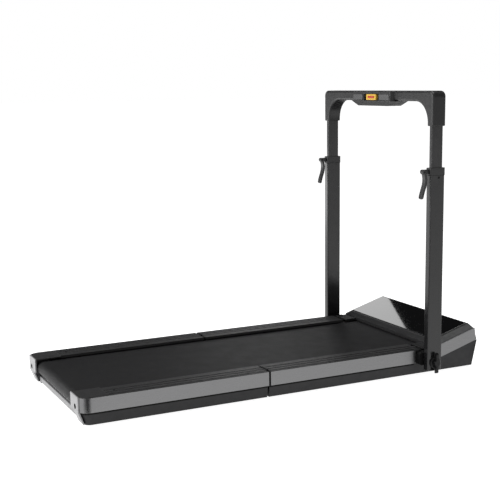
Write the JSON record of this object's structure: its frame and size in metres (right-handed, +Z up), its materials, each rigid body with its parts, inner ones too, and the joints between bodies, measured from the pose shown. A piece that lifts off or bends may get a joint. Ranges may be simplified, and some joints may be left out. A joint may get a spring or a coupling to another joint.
{
  "type": "folding treadmill",
  "caption": "Low folding treadmill: a deck hinged across the middle, a running belt, a motor hood with a gloss display panel, and a folding telescopic handlebar with console and safety key.",
  "frame": {"origin": "middle of the treadmill's outline, on the floor under its feet", "axes": "+X the way the walker faces, from the rear roller to the nose; +Y the walker's left; +Z up"},
  "size_m": [1.544, 0.776, 1.0346],
  "materials": {
    "frame_black": "satin black paint",
    "casing_black": "fine grained moulding",
    "board_wood": "black waxed fibreboard",
    "rubber_black": "matte",
    "rail_black": "ribbed moulding",
    "trim_grey": "satin grey",
    "cap_light": "pale satin paint",
    "belt_black": "fine woven grain",
    "steel": "bright",
    "black_steel": "blackened",
    "hood_black": "satin moulding",
    "panel_gloss": "mirror gloss black",
    "lamp_board": "circuit board",
    "motor_grey": "grey paint",
    "cradle_grey": "grey paint",
    "heat_sink": "plain",
    "inlet_black": "gloss",
    "rocker_red": "gloss",
    "wheel_black": "plain",
    "post_black": "satin black paint",
    "shoe_black": "plain",
    "collar_black": "fine grain",
    "stem_dark": "satin",
    "handle_grey": "soft grain",
    "button_grey": "soft touch",
    "key_yellow": "satin"
  },
  "bodies": {
    "base": {"front_frame": "frame_black", "front_casing": "casing_black", "front_deck_board": "board_wood", "front_cushions": "rubber_black", "front_foot_rails": "rail_black", "front_trims": "trim_grey", "front_feet": "rubber_black", "front_belt": "belt_black", "front_axle": "steel", "hood_cover": "hood_black", "hood_trims": "trim_grey", "display_panel": "panel_gloss", "display_module": "lamp_board", "motor": "motor_grey", "motor_cradle": "cradle_grey", "drive_belt": "rubber_black", "control_box": "heat_sink", "power_inlet": "inlet_black", "switch_housing": "inlet_black", "wheel_axles": "steel", "hinge_front_leaves": "black_steel", "hinge_pins": "black_steel", "post_brackets": "post_black", "pivot_bolts": "steel"},
    "front_roller": {"front_roller": "steel", "front_bearings": "steel"},
    "motor_rotor": {"motor_rotor": "steel"},
    "rear_deck": {"rear_frame": "frame_black", "rear_casing": "casing_black", "rear_deck_board": "board_wood", "rear_cushions": "rubber_black", "rear_foot_rails": "rail_black", "rear_trims": "trim_grey", "rear_rail_ends": "rail_black", "rear_end_caps": "cap_light", "rear_crossbar": "cap_light", "rear_feet": "rubber_black", "rear_belt": "belt_black", "rear_axle": "steel", "tension_bolts": "black_steel", "hinge_rear_leaves": "black_steel"},
    "rear_roller": {"rear_roller": "steel", "rear_bearings": "steel"},
    "posts": {"posts": "post_black", "post_shoes": "shoe_black", "clamp_collars": "collar_black", "lever_pins": "black_steel"},
    "handle": {"stems": "stem_dark", "handlebar": "handle_grey", "console": "handle_grey"},
    "clamp_lever_left": {"clamp_lever_left": "collar_black"},
    "clamp_lever_right": {"clamp_lever_right": "collar_black"},
    "lock_knob_left": {"lock_knob_left": "collar_black"},
    "lock_knob_right": {"lock_knob_right": "collar_black"},
    "button_left": {"button_left": "button_grey"},
    "button_right": {"button_right": "button_grey"},
    "safety_key": {"safety_key": "key_yellow"},
    "switch_rocker": {"switch_rocker": "rocker_red"},
    "wheel_left": {"wheel_left": "wheel_black"},
    "wheel_right": {"wheel_right": "wheel_black"}
  },
  "joints": [
    {"name": "deck_fold", "type": "hinge", "parent": "base", "child": "rear_deck", "pos_m": [-0.104, 0, 0.10125], "axis": [0, 1, 0], "range_deg": [0, 180]},
    {"name": "front_roller_spin", "type": "hinge", "parent": "base", "child": "front_roller", "pos_m": [0.616, 0, 0.065], "axis": [0, 1, 0], "continuous": true},
    {"name": "rear_roller_spin", "type": "hinge", "parent": "rear_deck", "child": "rear_roller", "pos_m": [-0.74, 0, 0.065], "axis": [0, 1, 0], "continuous": true},
    {"name": "motor_spin", "type": "hinge", "parent": "base", "child": "motor_rotor", "pos_m": [0.702, 0, 0.072], "axis": [0, 1, 0], "continuous": true},
    {"name": "handle_fold", "type": "hinge", "parent": "base", "child": "posts", "pos_m": [0.5416, 0, 0.06], "axis": [0, -1, 0], "range_deg": [0, 83.5]},
    {"name": "handle_height", "type": "slide", "parent": "posts", "child": "handle", "axis": [0, 0, 1], "range_m": [-0.14, 0.06]},
    {"name": "clamp_lever_left_turn", "type": "hinge", "parent": "posts", "child": "clamp_lever_left", "pos_m": [0.48895, 0.356, 0.753], "axis": [0, 1, 0], "range_deg": [0, 110]},
    {"name": "lock_knob_left_turn", "type": "hinge", "parent": "posts", "child": "lock_knob_left", "pos_m": [0.5416, 0.378, 0.06], "axis": [0, 1, 0], "range_deg": [0, 90]},
    {"name": "button_left_press", "type": "slide", "parent": "handle", "child": "button_left", "axis": [1, 0, 0], "range_m": [0, 0.0015], "stiffness_N_per_m": 400},
    {"name": "wheel_left_spin", "type": "hinge", "parent": "base", "child": "wheel_left", "pos_m": [0.726, 0.235, 0.0215], "axis": [0, 1, 0], "continuous": true},
    {"name": "clamp_lever_right_turn", "type": "hinge", "parent": "posts", "child": "clamp_lever_right", "pos_m": [0.48895, -0.356, 0.753], "axis": [0, 1, 0], "range_deg": [0, 110]},
    {"name": "lock_knob_right_turn", "type": "hinge", "parent": "posts", "child": "lock_knob_right", "pos_m": [0.5416, -0.378, 0.06], "axis": [0, 1, 0], "range_deg": [0, 90]},
    {"name": "button_right_press", "type": "slide", "parent": "handle", "child": "button_right", "axis": [1, 0, 0], "range_m": [0, 0.0015], "stiffness_N_per_m": 400},
    {"name": "wheel_right_spin", "type": "hinge", "parent": "base", "child": "wheel_right", "pos_m": [0.726, -0.235, 0.0215], "axis": [0, 1, 0], "continuous": true},
    {"name": "safety_key_pull", "type": "slide", "parent": "handle", "child": "safety_key", "axis": [1, 0, 0], "range_m": [-0.04, 0]},
    {"name": "switch_rocker_tip", "type": "hinge", "parent": "base", "child": "switch_rocker", "pos_m": [0.76398, 0.16, 0.06436], "axis": [0, -1, 0], "range_deg": [0, 16]}
  ],
  "couplings": [
    {"joint": "rear_roller_spin", "follows": "front_roller_spin", "ratio": 1},
    {"joint": "motor_spin", "follows": "front_roller_spin", "ratio": 2.2857}
  ]
}
